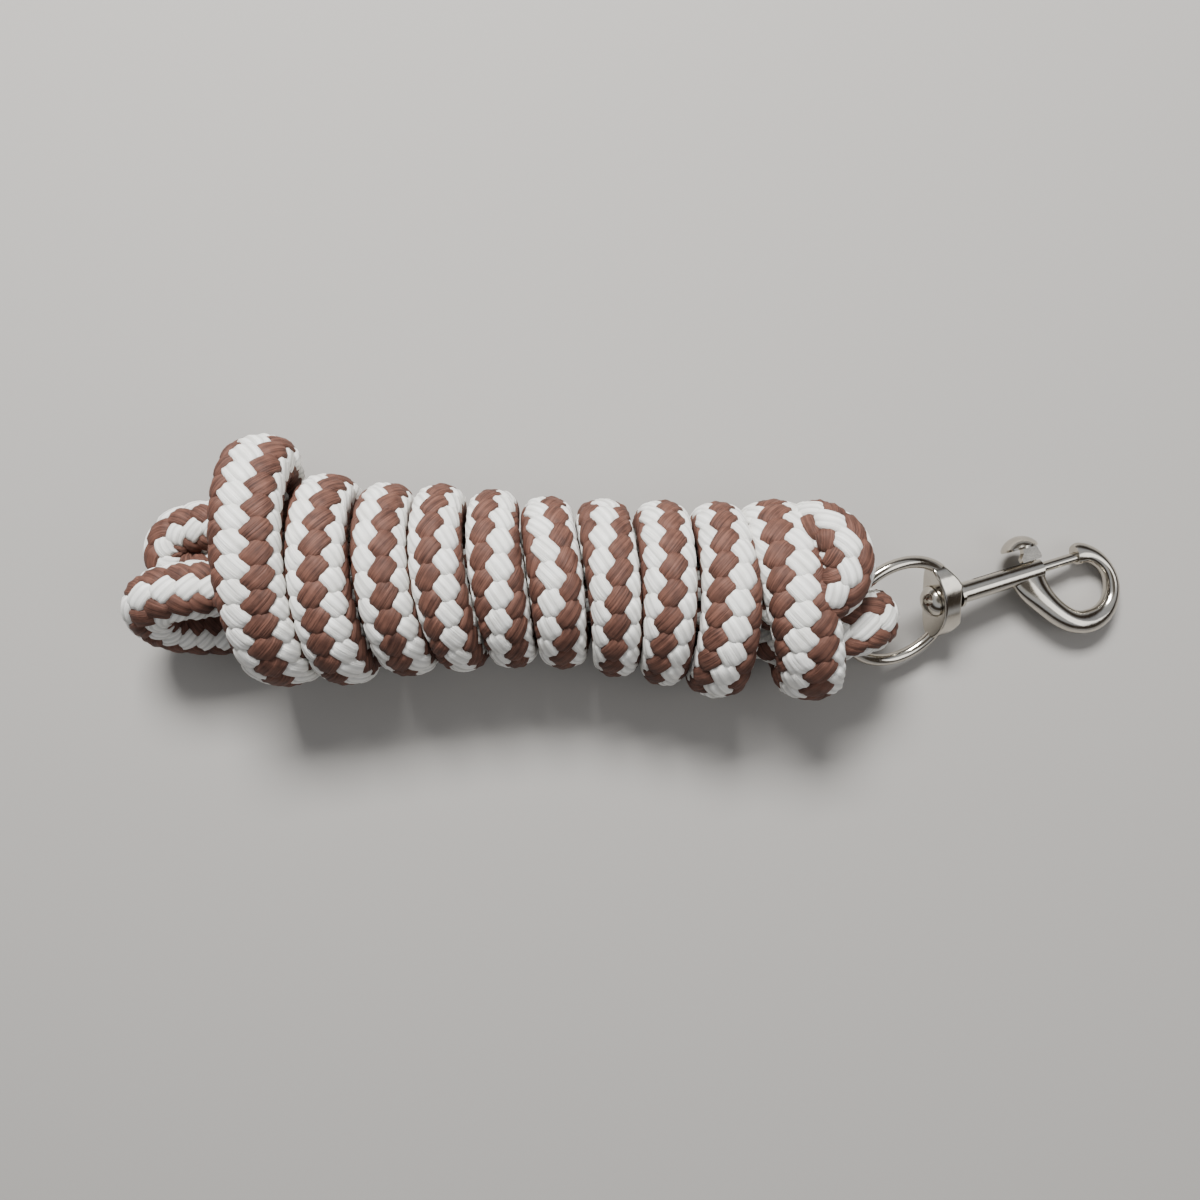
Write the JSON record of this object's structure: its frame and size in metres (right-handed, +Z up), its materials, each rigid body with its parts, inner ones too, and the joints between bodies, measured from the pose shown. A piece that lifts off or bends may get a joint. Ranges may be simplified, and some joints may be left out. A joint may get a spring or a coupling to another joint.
{
  "type": "lead rope",
  "caption": "Braided two-colour lead rope wound into a hank, with a swivel bolt snap held in its end loop for leading or tying an animal.",
  "frame": {"origin": "on the surface that the rope lies on, under the centre of the whole object's bounding box", "axes": "+X along the hank towards the snap, +Y across the hank, +Z up from the surface"},
  "size_m": [0.3671, 0.0968, 0.0616],
  "materials": {
    "rope_brown": "matte",
    "rope_cream": "matte",
    "rope_core": "matte",
    "nickel": "polished",
    "spring_steel": "satin"
  },
  "bodies": {
    "rope": {"rope_hank": "rope_brown", "rope_fold_upper": "rope_brown", "rope_fold_lower": "rope_cream", "rope_end_turn": "rope_brown", "rope_eye": "rope_brown"},
    "eye": {"swivel_eye": "nickel"},
    "snap": {"snap_body": "nickel", "swivel_rivet": "nickel", "bolt_spring": "spring_steel"},
    "bolt": {"bolt": "nickel", "thumb_knob": "nickel"}
  },
  "joints": [
    {"name": "ring_tilt", "type": "hinge", "parent": "rope", "child": "eye", "pos_m": [0.07642, -0.02227, 0.02287], "axis": [0.1207, -0.9457, -0.3018], "range_deg": [0, 50]},
    {"name": "swivel", "type": "hinge", "parent": "eye", "child": "snap", "pos_m": [0.1197, -0.0097, 0.015], "axis": [-0.946, -0.2748, 0.1719], "continuous": true},
    {"name": "bolt_slide", "type": "slide", "parent": "snap", "child": "bolt", "axis": [-0.946, -0.2748, 0.1719], "range_m": [0, 0.012], "stiffness_N_per_m": 400, "springref_m": -0.006, "deforming": ["bolt_spring"]}
  ]
}
